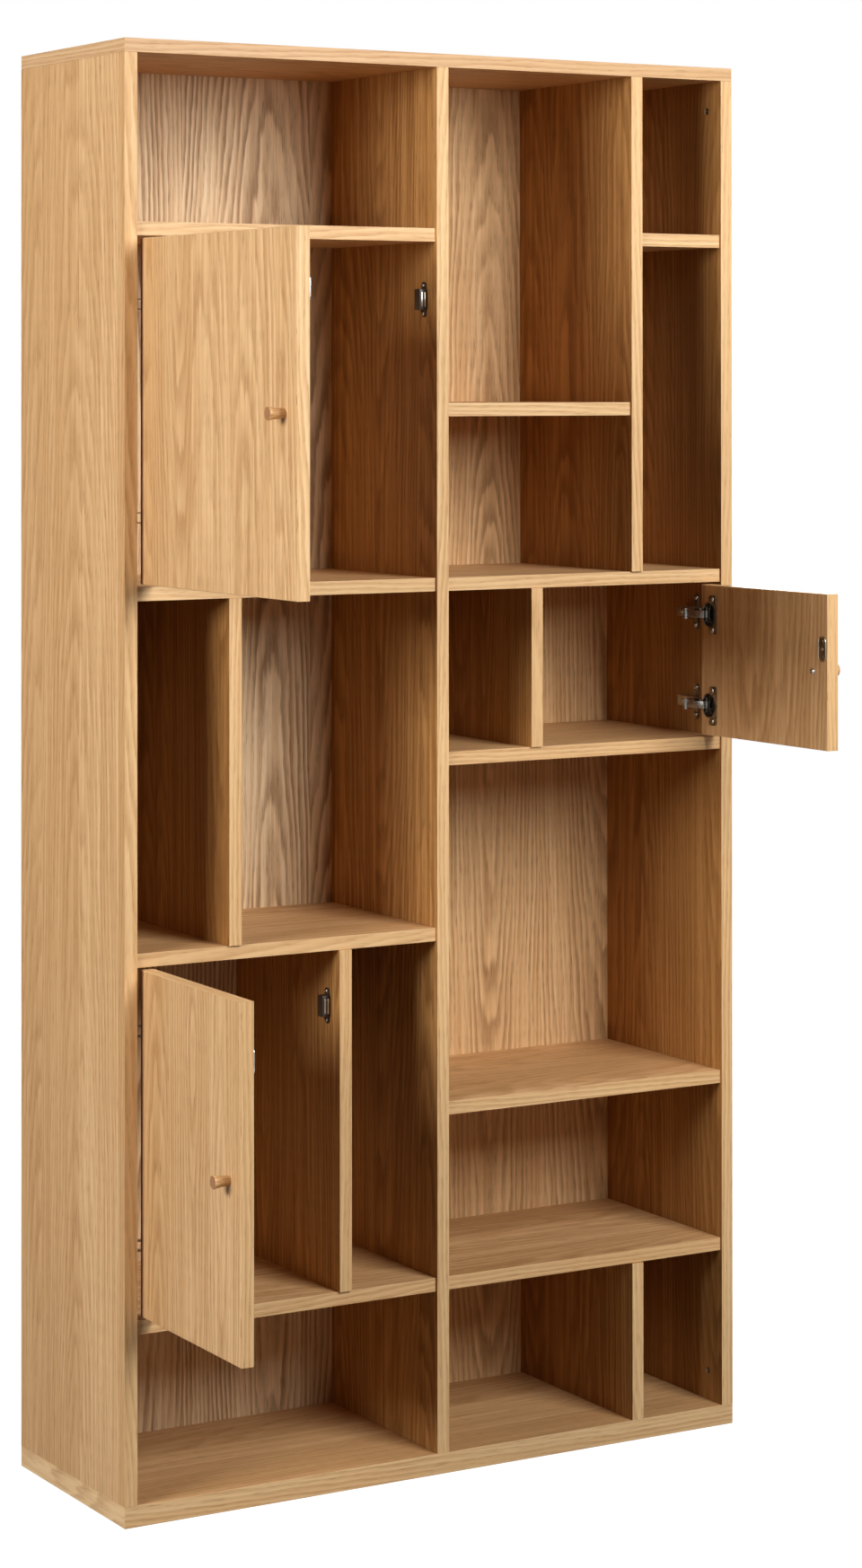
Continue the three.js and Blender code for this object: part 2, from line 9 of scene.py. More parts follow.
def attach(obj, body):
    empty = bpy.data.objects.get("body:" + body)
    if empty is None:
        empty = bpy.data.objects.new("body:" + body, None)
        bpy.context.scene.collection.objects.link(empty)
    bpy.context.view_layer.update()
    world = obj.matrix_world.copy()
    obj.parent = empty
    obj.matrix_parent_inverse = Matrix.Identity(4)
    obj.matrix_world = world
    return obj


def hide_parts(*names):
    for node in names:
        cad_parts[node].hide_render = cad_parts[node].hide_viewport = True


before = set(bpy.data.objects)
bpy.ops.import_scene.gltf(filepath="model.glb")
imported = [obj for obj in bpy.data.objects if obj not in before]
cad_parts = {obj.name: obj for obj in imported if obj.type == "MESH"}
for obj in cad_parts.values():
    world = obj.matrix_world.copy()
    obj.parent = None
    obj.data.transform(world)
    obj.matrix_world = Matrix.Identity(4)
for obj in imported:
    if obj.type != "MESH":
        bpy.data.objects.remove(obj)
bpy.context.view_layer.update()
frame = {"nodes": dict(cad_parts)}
scene = bpy.context.scene
MM = 0.001

# Sizes shared with the part, in millimetres
HEIGHT, WIDTH, DEPTH = 2000, 990, 340
BOARD, BOTTOM_BOARD = 19, 29
FRONT = -DEPTH / 2
INNER_HALF = WIDTH / 2 - BOARD
HALF_BOARD = BOARD / 2
ROWS = 8
ROW_PITCH = (HEIGHT - BOTTOM_BOARD) / ROWS
DOOR_BAY = 310
DOOR_SETBACK = 4
HINGE_GAP, CLOSING_GAP, END_GAP = 3, 2, 3.5
OPEN_ANGLE = 91
TALL_HINGE_INSET, SMALL_HINGE_INSET = 88.5, 43.5
SEAT_PLAY = 0.1

# The hinge in plan: distances from the side panel and from the front, with the door open
CUP_PIVOT = (24.3668, 2.7394)
ARM_PIVOT = (41.7820, 31.6338)
LINK_ELBOW = (31.53, 0.61)
# The cup's pivot in the door: from the hinge edge and from the inner face
CUP_PIVOT_INSET, CUP_PIVOT_DEPTH = 7.5, 4


def row_top(row):
    return BOTTOM_BOARD + row * ROW_PITCH


def row_under(row):
    return row_top(row) - BOARD


# ---------------------------------------------------------------- finishes
def srgb(red, green, blue):
    """A linear colour from the 0 to 255 values that a screen shows."""
    def channel(value):
        share = value / 255
        return share / 12.92 if share <= 0.04045 else ((share + 0.055) / 1.055) ** 2.4
    return (channel(red), channel(green), channel(blue), 1)


class Nodes:
    """Short hand for building one node tree."""

    def __init__(self, tree):
        self.tree = tree

    def add(self, kind, settings=None, **inputs):
        node = self.tree.nodes.new(kind)
        for key, value in (settings or {}).items():
            setattr(node, key, value)
        for key, value in inputs.items():
            self.feed(node.inputs[key.replace("_", " ")], value)
        return node

    def feed(self, socket, value):
        if isinstance(value, bpy.types.NodeSocket):
            self.tree.links.new(value, socket)
        else:
            socket.default_value = value

    def math(self, operation, *values):
        node = self.tree.nodes.new("ShaderNodeMath")
        node.operation = operation
        for socket, value in zip(node.inputs, values):
            self.feed(socket, value)
        return node.outputs[0]

    def vector(self, x, y, z):
        node = self.tree.nodes.new("ShaderNodeCombineXYZ")
        for socket, value in zip(node.inputs, (x, y, z)):
            self.feed(socket, value)
        return node.outputs[0]

    def noise(self, vector, scale, detail=2.0, roughness=0.5, distortion=0.0):
        node = self.add("ShaderNodeTexNoise", Vector=vector, Scale=scale, Detail=detail,
                        Roughness=roughness, Distortion=distortion)
        return node.outputs["Fac"]

    def stretched(self, across, along, scales, third, **settings):
        """Noise with its own scale across and along the grain, per metre."""
        place = self.vector(self.math("MULTIPLY", across, scales[0]),
                            self.math("MULTIPLY", along, scales[1]), third)
        return self.noise(place, 1.0, **settings)

    def remap(self, value, low, high, to_low=0.0, to_high=1.0):
        node = self.tree.nodes.new("ShaderNodeMapRange")
        node.interpolation_type = "SMOOTHSTEP"
        for socket, given in zip(node.inputs, (value, low, high, to_low, to_high)):
            self.feed(socket, given)
        return node.outputs[0]

    def blend(self, share, first, second):
        node = self.tree.nodes.new("ShaderNodeMix")
        node.data_type = "RGBA"
        self.feed(node.inputs["Factor"], share)
        self.feed(node.inputs[6], first)
        self.feed(node.inputs[7], second)
        return node.outputs[2]


# Scales of the oak's figure across and along the grain, per metre
WANDER_SCALES, RIPPLE_SCALES, FADE_SCALES = (3.0, 1.3), (45.0, 6.0), (26.0, 2.6)
STREAK_SCALES, PORE_SCALES, BROAD_SCALES = (130.0, 1.6), (1500.0, 38.0), (7.0, 0.5)
RING_SPACING = 0.0068
RING_TAPER, CUT_DEPTH, CUT_WANDER, RING_RIPPLE = 0.055, 0.012, 0.05, 0.011
APEX_REACH, APEX_LOW = 3.4, 0.7
# Odd factors that make each leaf and each board differ
SEED_SHIFT, LEAF_SPREAD, NOISE_STEP, APEX_SPREAD = 0.377, 1.1, 17.0, 7.31


def oak_figure_group():
    """Flat-cut oak veneer: leaves side by side, cathedral rings, streaks and pores."""
    tree = bpy.data.node_groups.new("oak_figure", "ShaderNodeTree")
    sockets = tree.interface
    for label, value in (("Across", 0.0), ("Along", 0.0), ("Seed", 0.0), ("Leaf", 0.12)):
        sockets.new_socket(label, in_out="INPUT", socket_type="NodeSocketFloat").default_value = value
    for label in ("Rings", "Streaks", "Pores", "Tone"):
        sockets.new_socket(label, in_out="OUTPUT", socket_type="NodeSocketFloat")
    n = Nodes(tree)
    given = tree.nodes.new("NodeGroupInput").outputs
    across, along, seed, leaf = given["Across"], given["Along"], given["Seed"], given["Leaf"]

    # Which veneer leaf this is, and how far across the trunk it was cut
    shifted = n.math("ADD", n.math("DIVIDE", across, leaf), n.math("MULTIPLY", seed, SEED_SHIFT))
    index = n.math("FLOOR", shifted)
    within = n.math("SUBTRACT", n.math("FRACT", shifted), 0.5)
    chance = n.add("ShaderNodeTexWhiteNoise", {"noise_dimensions": "2D"},
                   Vector=n.vector(index, seed, 0.0)).outputs["Value"]
    luck = n.math("MULTIPLY", n.math("SUBTRACT", chance, 0.5), LEAF_SPREAD)
    place = n.math("MULTIPLY", n.math("ADD", within, luck), leaf)

    # The leaf is cut flat through the rings, at a depth that changes along the trunk
    offset = n.math("MULTIPLY", n.math("ADD", chance, seed), NOISE_STEP)
    wander = n.stretched(place, along, WANDER_SCALES, offset, detail=2.0)
    height = n.math("FRACT", n.math("MULTIPLY", chance, APEX_SPREAD))
    apex = n.math("SUBTRACT", n.math("MULTIPLY", height, APEX_REACH), APEX_LOW)
    taper = n.math("MULTIPLY", n.math("ABSOLUTE", n.math("SUBTRACT", along, apex)), RING_TAPER)
    depth = n.math("ADD", n.math("ADD", taper, CUT_DEPTH),
                   n.math("MULTIPLY", n.math("SUBTRACT", wander, 0.5), CUT_WANDER))
    radius = n.math("SQRT", n.math("ADD", n.math("MULTIPLY", place, place), n.math("MULTIPLY", depth, depth)))
    ripple = n.stretched(across, along, RIPPLE_SCALES, offset, detail=3.0, roughness=0.6)
    radius = n.math("ADD", radius, n.math("MULTIPLY", n.math("SUBTRACT", ripple, 0.5), RING_RIPPLE))

    # Each ring starts sharply and fades slowly, as early and late wood do
    ring_share = n.math("FRACT", n.math("DIVIDE", radius, RING_SPACING))
    ring = n.math("MULTIPLY", n.remap(ring_share, 0.0, 0.2), n.remap(ring_share, 0.2, 0.95, 1.0, 0.0))
    fade = n.stretched(across, along, FADE_SCALES, seed, detail=2.0)
    rings = n.math("MULTIPLY", ring, n.remap(fade, 0.3, 0.62, 0.25, 1.0))

    streaks = n.stretched(across, along, STREAK_SCALES, offset, detail=4.0, roughness=0.62)
    grain = n.stretched(across, along, PORE_SCALES, offset, detail=1.0)
    pores = n.math("MULTIPLY", n.remap(grain, 0.56, 0.66), n.math("ADD", n.math("MULTIPLY", ring, 0.7), 0.3))
    broad = n.stretched(across, along, BROAD_SCALES, offset)
    tone = n.math("ADD", n.math("MULTIPLY", chance, 0.5), n.math("MULTIPLY", broad, 0.5))
    out = tree.nodes.new("NodeGroupOutput")
    for label, value in (("Rings", rings), ("Streaks", streaks), ("Pores", pores), ("Tone", tone)):
        tree.links.new(value, out.inputs[label])
    return tree


OAK_FIGURE = oak_figure_group()

OAK_FACE = {
    "light": srgb(235, 192, 140), "dark": srgb(199, 150, 96), "ring": srgb(174, 122, 70),
    "pore": srgb(138, 93, 53), "ring_share": 0.42, "streak_share": 0.66, "leaf": 0.125,
}
OAK_DOOR = dict(OAK_FACE, light=srgb(238, 195, 143), dark=srgb(203, 154, 99), ring_share=0.5)
# A darker, more saturated copy of OAK_FACE for the uprights' faces: painted shade inside the bays.
OAK_INNER_PAINTED_SHADE = {
    "light": srgb(204, 153, 92), "dark": srgb(153, 103, 51), "ring": srgb(122, 75, 32),
    "pore": srgb(92, 55, 24), "ring_share": 0.50, "streak_share": 0.70, "leaf": 0.125,
}
OAK_EDGE = {
    "light": srgb(243, 205, 153), "dark": srgb(227, 180, 124), "ring": srgb(195, 141, 86),
    "pore": srgb(163, 112, 65), "ring_share": 0.50, "streak_share": 0.60, "leaf": 0.4,
}
# A darker copy of the edge band for the top panel only: painted shade on its edges.
OAK_TOP_EDGE_PAINTED_SHADE = dict(OAK_EDGE, light=srgb(228, 191, 145), dark=srgb(210, 165, 116), ring=srgb(186, 134, 83))
OAK_BACKS = {
    "left_back": {
        "light": srgb(247, 220, 179), "dark": srgb(222, 184, 139), "ring": srgb(146, 105, 67),
        "pore": srgb(106, 72, 43), "ring_share": 0.75, "streak_share": 0.75, "leaf": 0.21,
    },
    "right_back": {
        "light": srgb(248, 209, 157), "dark": srgb(212, 165, 112), "ring": srgb(156, 110, 66),
        "pore": srgb(106, 71, 41), "ring_share": 0.6, "streak_share": 0.75, "leaf": 0.19,
    },
}


# How strongly streaks, changes of tone and pores show, and how deep the rings are beside the pores
STREAK_LOW, STREAK_HIGH = 0.36, 0.64
TONE_SHARE, PORE_SHARE = 0.45, 0.5
RING_RELIEF = -0.35
# An edge band's figure starts elsewhere than the face's
BAND_SEED = 0.61
# A surface faces along an axis from this share of its normal on
FACES = 0.7


def oak_layer(n, across, along, seed, look):
    """Colour, height and pores of one stretch of oak."""
    figure = n.add("ShaderNodeGroup", {"node_tree": OAK_FIGURE}, Across=across, Along=along,
                   Seed=seed, Leaf=look["leaf"]).outputs
    streaky = n.remap(figure["Streaks"], STREAK_LOW, STREAK_HIGH)
    colour = n.blend(n.math("MULTIPLY", streaky, look["streak_share"]), look["light"], look["dark"])
    colour = n.blend(n.remap(figure["Tone"], 0.25, 0.75, 0.0, TONE_SHARE), colour, look["dark"])
    colour = n.blend(n.math("MULTIPLY", figure["Rings"], look["ring_share"]), colour, look["ring"])
    colour = n.blend(n.math("MULTIPLY", figure["Pores"], PORE_SHARE), colour, look["pore"])
    height = n.math("SUBTRACT", n.math("MULTIPLY", figure["Rings"], RING_RELIEF), figure["Pores"])
    return colour, height, figure["Pores"]


def new_material(name):
    """A node material, with its node shorthand and its shader."""
    material = bpy.data.materials.new(name)
    material.use_nodes = True
    tree = material.node_tree
    return material, Nodes(tree), tree.nodes["Principled BSDF"]


def surface(n, shader, colour, roughness, height, distance, strength):
    """Joins a colour, a roughness and a fine relief to a shader."""
    n.feed(shader.inputs["Base Color"], colour)
    n.feed(shader.inputs["Roughness"], roughness)
    bump = n.add("ShaderNodeBump", Height=height, Distance=distance, Strength=strength)
    n.feed(shader.inputs["Normal"], bump.outputs[0])


def place_and_facing(n):
    """Where a point is on its object and which way its surface faces, as x, y and z each."""
    coordinate = n.add("ShaderNodeTexCoord").outputs
    place = n.add("ShaderNodeSeparateXYZ", Vector=coordinate["Object"]).outputs
    facing = n.add("ShaderNodeSeparateXYZ", Vector=coordinate["Normal"]).outputs
    return dict(zip("xyz", place)), dict(zip("xyz", facing))


def oak_finish(name, grain, seed, face=OAK_FACE, edge=OAK_EDGE, banded=("y",), roughness=0.46,
               sheen=0.35, outward=0):
    """Oak with its grain along x or z. Faces that point along a banded axis are edge bands.
    A side panel's outward is the sign of x on its outer face, which keeps the plain OAK_FACE colour there;
    the uprights' other faces take the darker face given, which is painted shade."""
    material, n, shader = new_material(name)
    place, facing = place_and_facing(n)
    if grain == "z":
        along, across = place["z"], n.math("ADD", place["x"], place["y"])
        end_along, end_across = place["y"], place["x"]
    else:
        along, across = place["x"], n.math("ADD", place["y"], place["z"])
        end_along, end_across = place["y"], place["z"]
    colour, height, pores = oak_layer(n, across, along, seed, face)
    # Only a side panel's outer face keeps OAK_FACE; elsewhere on the upright the darker face colour is
    # painted shade.
    if outward:
        pale = oak_layer(n, across, along, seed, OAK_FACE)[0]
        outside = n.math("GREATER_THAN", n.math("MULTIPLY", facing["x"], float(outward)), FACES)
        colour = n.blend(outside, colour, pale)
    if grain in banded:
        is_end = n.math("GREATER_THAN", n.math("ABSOLUTE", facing[grain]), FACES)
        not_end = n.math("SUBTRACT", 1.0, is_end)
        along = n.math("ADD", n.math("MULTIPLY", along, not_end), n.math("MULTIPLY", end_along, is_end))
        across = n.math("ADD", n.math("MULTIPLY", across, not_end), n.math("MULTIPLY", end_across, is_end))
    if banded:
        band_colour, band_height, _ = oak_layer(n, across, along, seed + BAND_SEED, edge)
        share = 0.0
        for axis in banded:
            turned_to = n.math("GREATER_THAN", n.math("ABSOLUTE", facing[axis]), FACES)
            share = n.math("MAXIMUM", share, turned_to)
        colour = n.blend(share, colour, band_colour)
        height = n.math("ADD", n.math("MULTIPLY", height, n.math("SUBTRACT", 1.0, share)),
                        n.math("MULTIPLY", band_height, share))
    rough = n.remap(pores, 0.0, 1.0, roughness, roughness + 0.2)
    surface(n, shader, colour, rough, height, distance=0.0002, strength=0.35)
    shader.inputs["Specular IOR Level"].default_value = sheen
    return material


def metal_finish(name, colour, dull, roughness, brushed=(1.0, 1.0, 1.0)):
    """Plated steel with fine brushing and a little tarnish."""
    material, n, shader = new_material(name)
    coordinate = n.add("ShaderNodeTexCoord").outputs["Object"]
    brushing = n.add("ShaderNodeMapping", Vector=coordinate, Scale=brushed).outputs[0]
    fine = n.noise(brushing, 900.0, detail=3.0)
    cloud = n.noise(coordinate, 140.0, detail=3.0, roughness=0.6)
    uneven = n.math("ADD", n.math("MULTIPLY", fine, 0.16), n.math("MULTIPLY", cloud, 0.14))
    surface(n, shader, n.blend(n.remap(cloud, 0.35, 0.7), colour, dull),
            n.math("ADD", uneven, roughness - 0.15), fine, distance=0.00005, strength=0.25)
    shader.inputs["Metallic"].default_value = 1.0
    return material


def moulded_finish(name, colour, worn):
    """Moulded plastic with a fine matt texture."""
    material, n, shader = new_material(name)
    coordinate = n.add("ShaderNodeTexCoord").outputs["Object"]
    fine = n.noise(coordinate, 1400.0, detail=2.0)
    cloud = n.noise(coordinate, 90.0, detail=3.0)
    surface(n, shader, n.blend(n.remap(cloud, 0.4, 0.75), colour, worn),
            n.remap(cloud, 0.3, 0.7, 0.32, 0.48), fine, distance=0.00006, strength=0.4)
    return material


KNOB_RING_SPACING = 0.0027


def knob_finish(name, seed):
    """Turned oak with darker end grain. The knobs of the open doors lie along x, and so does the grain."""
    material, n, shader = new_material(name)
    place, facing = place_and_facing(n)
    stretched = n.vector(n.math("MULTIPLY", place["x"], 30.0), n.math("MULTIPLY", place["y"], 500.0),
                         n.math("MULTIPLY", place["z"], 500.0))
    streaks = n.noise(stretched, 1.0, detail=3.0, distortion=0.4)
    colour = n.blend(n.remap(streaks, 0.35, 0.68), srgb(222, 176, 122), srgb(186, 134, 82))
    slanted = n.math("ADD", place["z"], n.math("MULTIPLY", place["y"], 0.4))
    rings = n.math("SINE", n.math("MULTIPLY", slanted, 2 * math.pi / KNOB_RING_SPACING + seed))
    end_colour = n.blend(n.remap(rings, -0.2, 0.9), srgb(178, 124, 74), srgb(134, 86, 46))
    is_end = n.remap(n.math("ABSOLUTE", facing["x"]), 0.75, 0.95)
    surface(n, shader, n.blend(is_end, colour, end_colour), n.remap(streaks, 0.3, 0.7, 0.36, 0.5),
            streaks, distance=0.0001, strength=0.3)
    return material


NICKEL = metal_finish("nickel_plate", srgb(178, 178, 176), srgb(140, 139, 136), 0.30, (1, 1, 6))
# A darker copy of the nickel: painted shade on the hinge cups and plates, the strike plate's sunk face and
# the connectors.
NICKEL_PAINTED_SHADE = metal_finish("nickel_painted_shade", srgb(142, 133, 121), srgb(104, 95, 84), 0.30)
ZINC = metal_finish("zinc_plate", srgb(188, 181, 170), srgb(150, 141, 128), 0.36, (1, 6, 1))
# Bright steel for the screws and poles; on the strike plate's rim it is a painted highlight.
BRIGHT_STEEL_AND_HIGHLIGHT = metal_finish("bright_screws_and_rim_highlight", srgb(205, 198, 188), srgb(170, 160, 148), 0.24)
CATCH_BROWN = moulded_finish("catch_brown", srgb(52, 38, 28), srgb(66, 50, 38))


# ---------------------------------------------------------------- oak boards
UPRIGHTS = ("left_side", "right_side", "centre_divider", "left_wide_divider", "left_door_divider",
            "right_bottom_divider", "right_door_divider", "right_top_divider")
DOORS = ("upper_door", "lower_door", "small_door")
SEED_STEP = 1.37


def dress(node, material, ease=0.0):
    """Gives a CAD node its finish and, where ease (in millimetres) is given, slightly rounded edges."""
    thing = frame["nodes"][node]
    thing.data.materials.clear()
    thing.data.materials.append(material)
    if ease:
        weld = thing.modifiers.new("weld", "WELD")
        weld.merge_threshold = 0.00001
        bevel = thing.modifiers.new("ease", "BEVEL")
        bevel.width = ease * MM
        bevel.segments = 2
        bevel.limit_method = "ANGLE"
        bevel.angle_limit = math.radians(40)


for number, node in enumerate(frame["nodes"], 1):
    finish_name, seed = node + "_oak", number * SEED_STEP
    if node in UPRIGHTS:
        outward = {"left_side": -1, "right_side": 1}.get(node, 0)
        # The uprights take the darker oak as painted shade inside the bays; the side panels' outer faces stay
        # OAK_FACE.
        dress(node, oak_finish(finish_name, "z", seed, face=OAK_INNER_PAINTED_SHADE, sheen=0.18, outward=outward), 0.35)
    elif node in DOORS:
        dress(node, oak_finish(finish_name, "z", seed, face=OAK_DOOR, sheen=0.22, banded=("y", "z")))
    elif node in OAK_BACKS:
        dress(node, oak_finish(finish_name, "z", seed, face=OAK_BACKS[node], banded=(), roughness=0.5,
                               sheen=0.22))
    elif node in ("top_panel", "bottom_panel"):
        # The top panel's edges take the darker band, which is painted shade.
        edge = OAK_TOP_EDGE_PAINTED_SHADE if node == "top_panel" else OAK_EDGE
        dress(node, oak_finish(finish_name, "x", seed, edge=edge, banded=("x", "y")), 0.5)
    elif "_shelf_" in node:
        dress(node, oak_finish(finish_name, "x", seed), 0.35)


# ---------------------------------------------------------------- shapes
NEAR = 1e-7


def closed_up(mesh):
    """Joins vertices that meet and turns all faces outward."""
    bmesh.ops.remove_doubles(mesh, verts=mesh.verts, dist=NEAR)
    bmesh.ops.recalc_face_normals(mesh, faces=mesh.faces)


def turned(profile, steps, ring=False):
    """A profile of (radius, height) pairs in millimetres, turned about Z. It starts and ends on the axis,
    or it is the closed section of a ring."""
    mesh = bmesh.new()
    verts = [mesh.verts.new((radius * MM, 0, height * MM)) for radius, height in profile]
    pairs = zip(verts[-1:] + verts, verts) if ring else zip(verts, verts[1:])
    edges = [mesh.edges.new(pair) for pair in pairs]
    bmesh.ops.spin(mesh, geom=verts + edges, cent=(0, 0, 0), axis=(0, 0, 1), angle=2 * math.pi,
                   steps=steps, use_merge=True)
    closed_up(mesh)
    return mesh


def arc(radius, start, end, steps, centre=(0, 0), rise=None):
    """Points on a circle, or on an ellipse where rise gives its height, with angles in degrees."""
    angles = (math.radians(start + (end - start) * i / steps) for i in range(steps + 1))
    return [(centre[0] + radius * math.cos(a), centre[1] + (rise or radius) * math.sin(a)) for a in angles]


def lifted_verts(mesh, faces, keep=False):
    """Extrudes faces and gives the new vertices."""
    result = bmesh.ops.extrude_face_region(mesh, geom=faces, use_keep_orig=keep)["geom"]
    return [vert for vert in result if isinstance(vert, bmesh.types.BMVert)]


def rounded(mesh, edges, radius, segments=2):
    """Rounds edges off by a radius in millimetres."""
    bmesh.ops.bevel(mesh, geom=edges, offset=radius * MM, segments=segments, profile=0.5,
                    affect="EDGES", material=-1)


def plate(corners, thickness, rounding, ease):
    """A flat plate on z = 0 from its corners in millimetres. rounding gives (corner number, radius) pairs."""
    mesh = bmesh.new()
    verts = [mesh.verts.new((x * MM, y * MM, 0)) for x, y in corners]
    face = mesh.faces.new(verts)
    marked = [(verts[number].co.copy(), radius) for number, radius in rounding]
    bmesh.ops.translate(mesh, verts=lifted_verts(mesh, [face], keep=True), vec=(0, 0, thickness * MM))
    for place, radius in marked:
        uprights = [e for e in mesh.edges if all((v.co.xy - place.xy).length < NEAR for v in e.verts)]
        rounded(mesh, uprights, radius, segments=8)
    closed_up(mesh)
    rims = [e for e in mesh.edges if len(e.link_faces) == 2 and e.calc_face_angle(0) > math.radians(50)]
    rounded(mesh, rims, ease)
    return mesh


# Just short of a half circle, so that the two arcs of a round end don't meet
ROUND_END = 0.998


def oblong(length, width, thickness, ease):
    """A plate with round ends, long in Y."""
    x, y = width / 2, length / 2
    corners = [(-x, -y), (x, -y), (x, y), (-x, y)]
    return plate(corners, thickness, [(number, x * ROUND_END) for number in range(4)], ease)


def brick(size, ease):
    """A block about the origin, in millimetres, with its edges eased."""
    mesh = bmesh.new()
    bmesh.ops.create_cube(mesh, size=1, matrix=Matrix.Diagonal([side * MM for side in size] + [1]))
    rounded(mesh, mesh.edges[:], ease)
    return mesh


HEAD_FOOT, DRIVE_DEPTH = 0.4, 0.55


def screw_head(radius, rise, arm=0.52, slot=0.13):
    """A domed head on z = 0 with a cross-shaped drive pressed into it.
    The drive's arm and half slot are shares of the radius."""
    dome = arc(radius, 0, 90, 8, rise=rise)
    mesh = turned([(0, -HEAD_FOOT), (radius, -HEAD_FOOT)] + dome[:-1] + [(0, rise)], 40)
    reach, half = radius * arm * MM, radius * slot * MM
    for axis in (Vector((1, 0, 0)), Vector((0, 1, 0))):
        for offset in (-reach, -half, half, reach):
            bmesh.ops.bisect_plane(mesh, geom=mesh.verts[:] + mesh.edges[:] + mesh.faces[:],
                                   plane_co=axis * offset, plane_no=axis)
    pressed = []
    for face in mesh.faces:
        middle = face.calc_center_median()
        near, far = sorted((abs(middle.x), abs(middle.y)))
        if face.normal.z > 0.1 and near < half and far < reach:
            pressed.append(face)
    sunk = lifted_verts(mesh, pressed)
    bmesh.ops.delete(mesh, geom=pressed, context="FACES_ONLY")
    bmesh.ops.translate(mesh, verts=sunk, vec=(0, 0, -rise * DRIVE_DEPTH * MM))
    bmesh.ops.recalc_face_normals(mesh, faces=mesh.faces)
    return mesh


def gathered(*parts):
    """One mesh from (mesh, matrix) pairs. The meshes given are freed."""
    whole = bmesh.new()
    for part, matrix in parts:
        part.transform(matrix)
        data = bpy.data.meshes.new("part")
        part.to_mesh(data)
        part.free()
        whole.from_mesh(data)
        bpy.data.meshes.remove(data)
    return whole


SHARP_ANGLE = math.radians(35)


def piece(name, mesh, matrix, body, finish, stands_for):
    """Makes an object from a mesh, puts it in place on its body and hides the CAD parts it stands for."""
    mesh.transform(matrix)
    bmesh.ops.recalc_face_normals(mesh, faces=mesh.faces)
    data = bpy.data.meshes.new(name)
    mesh.to_mesh(data)
    mesh.free()
    data.shade_smooth()
    data.set_sharp_from_angle(angle=SHARP_ANGLE)
    data.materials.append(finish)
    thing = bpy.data.objects.new(name, data)
    scene.collection.objects.link(thing)
    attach(thing, body)
    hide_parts(*stands_for)


def at(x, y, z):
    """A move in millimetres."""
    return Matrix.Translation((x * MM, y * MM, z * MM))


def both_ways(make, x, y, z):
    """What make gives, at y and again at -y, as (mesh, matrix) pairs."""
    return [(make(), at(x, y * side, z)) for side in (1, -1)]


TO_BACK = Matrix.Rotation(math.radians(-90), 4, "X")
TO_FRONT = Matrix.Rotation(math.radians(90), 4, "X")
TO_SIDE = Matrix.Rotation(math.radians(90), 4, "Y")
QUARTER_TURN = Matrix.Rotation(math.radians(90), 4, "Z")


# ---------------------------------------------------------------- hinges, knobs and catches
# In millimetres, the same as in the part. CUP_IN is measured from the door's hinge edge, KNOB_INSET and
# STRIKE_FROM_EDGE from its free edge, PLATE_DISTANCE and FITTING_DEPTH from the bookcase's front.
CUP_IN, CUP_PIN_REACH = 20.5, 10.3
FLANGE, RIM = 2.0, 1.2
FLANGE_HALF, FLANGE_NEAR, FLANGE_FAR = 28.5, 1.2, 18.5
FLANGE_SCREW_IN, FLANGE_SCREW_APART = 9.5, 45
SCREW_RADIUS, SCREW_RISE = 3.6, 1.6
LINK_HEIGHT, LINK_THICKNESS, LINK_BEND = 11, 1.6, 0.85
ARM_EYE, CUP_EYE = (1.7, 3.2), (1.3, 2.2)
ARM_BAR_START, CUP_BAR_START = 2.5, 1.7
PLATE_DISTANCE, PLATE_SCREW_APART, PLATE_SCREW_SEAT = 63, 40, 3
ARM_SCREWS, ARM_SCREW_SEAT = (-7, 18), 15
KNOB_INSET = 34.5
STRIKE_LENGTH, STRIKE_WIDTH, STRIKE_THICKNESS = 37, 17, 2
STRIKE_FROM_EDGE, STRIKE_DROP = 2, 77.5
STRIKE_RIM, STRIKE_SINK, STRIKE_FACE, STRIKE_SCREW_SEAT = 1.5, 0.7, 1.0, 1.4
STRIKE_FACE_MARGIN, DIMPLES_APART = 3.2, 22
CATCH_MIDDLE, CATCH_HALF_DEPTH, CATCH_EAR, CATCH_SCREW_APART = 6.5, 8, 3, 40
CATCH_GAP, POLE_REACH, POLE_THICKNESS = 0.4, 0.8, 2.4
# The catch's front stands behind the closed door, its strike plate and the gap to the poles
CATCH_FRONT = DOOR_SETBACK + BOARD + SEAT_PLAY + STRIKE_THICKNESS + CATCH_GAP + POLE_REACH
FITTING_DEPTH, FITTING_HEIGHT, FITTING_SUNK = 37, 43, 0.8
FITTING_SCREW_SEAT = -2.9


def fixing_screw():
    return screw_head(SCREW_RADIUS, SCREW_RISE)


def hinge_cup():
    """A drawn cup with its flange, mouth up on z = 0. The flange is long in Y, with a straight far edge."""
    bowl = turned([(0, -12.5), (16.0, -12.5), (17.1, -12.0), (17.5, -11), (17.5, 0), (18.2, 0), (18.5, 0.3),
                   (18.5, 0.85), (18.2, RIM), (17.0, RIM), (16.5, 0.7), (16.5, -10.4), (15.9, -11.3),
                   (15, -11.5), (0, -11.5)], 72)
    outline = [(FLANGE_NEAR, -FLANGE_HALF), (FLANGE_FAR, -FLANGE_HALF), (FLANGE_FAR, FLANGE_HALF),
               (FLANGE_NEAR, FLANGE_HALF)] + arc(16.9, 86, -86, 20)
    flange = plate(outline, FLANGE, [(number, 4) for number in range(4)], 0.3)
    pin = turned([(0, -CUP_PIN_REACH), (1, -CUP_PIN_REACH), (1, CUP_PIN_REACH), (0, CUP_PIN_REACH)], 24)
    pin_place = at(CUP_PIVOT_INSET - CUP_IN, 0, -CUP_PIVOT_DEPTH - SEAT_PLAY) @ TO_BACK
    return gathered((bowl, Matrix()), (flange, Matrix()), (pin, pin_place))


def cup_screws():
    return gathered(*both_ways(fixing_screw, FLANGE_SCREW_IN, FLANGE_SCREW_APART / 2, FLANGE))


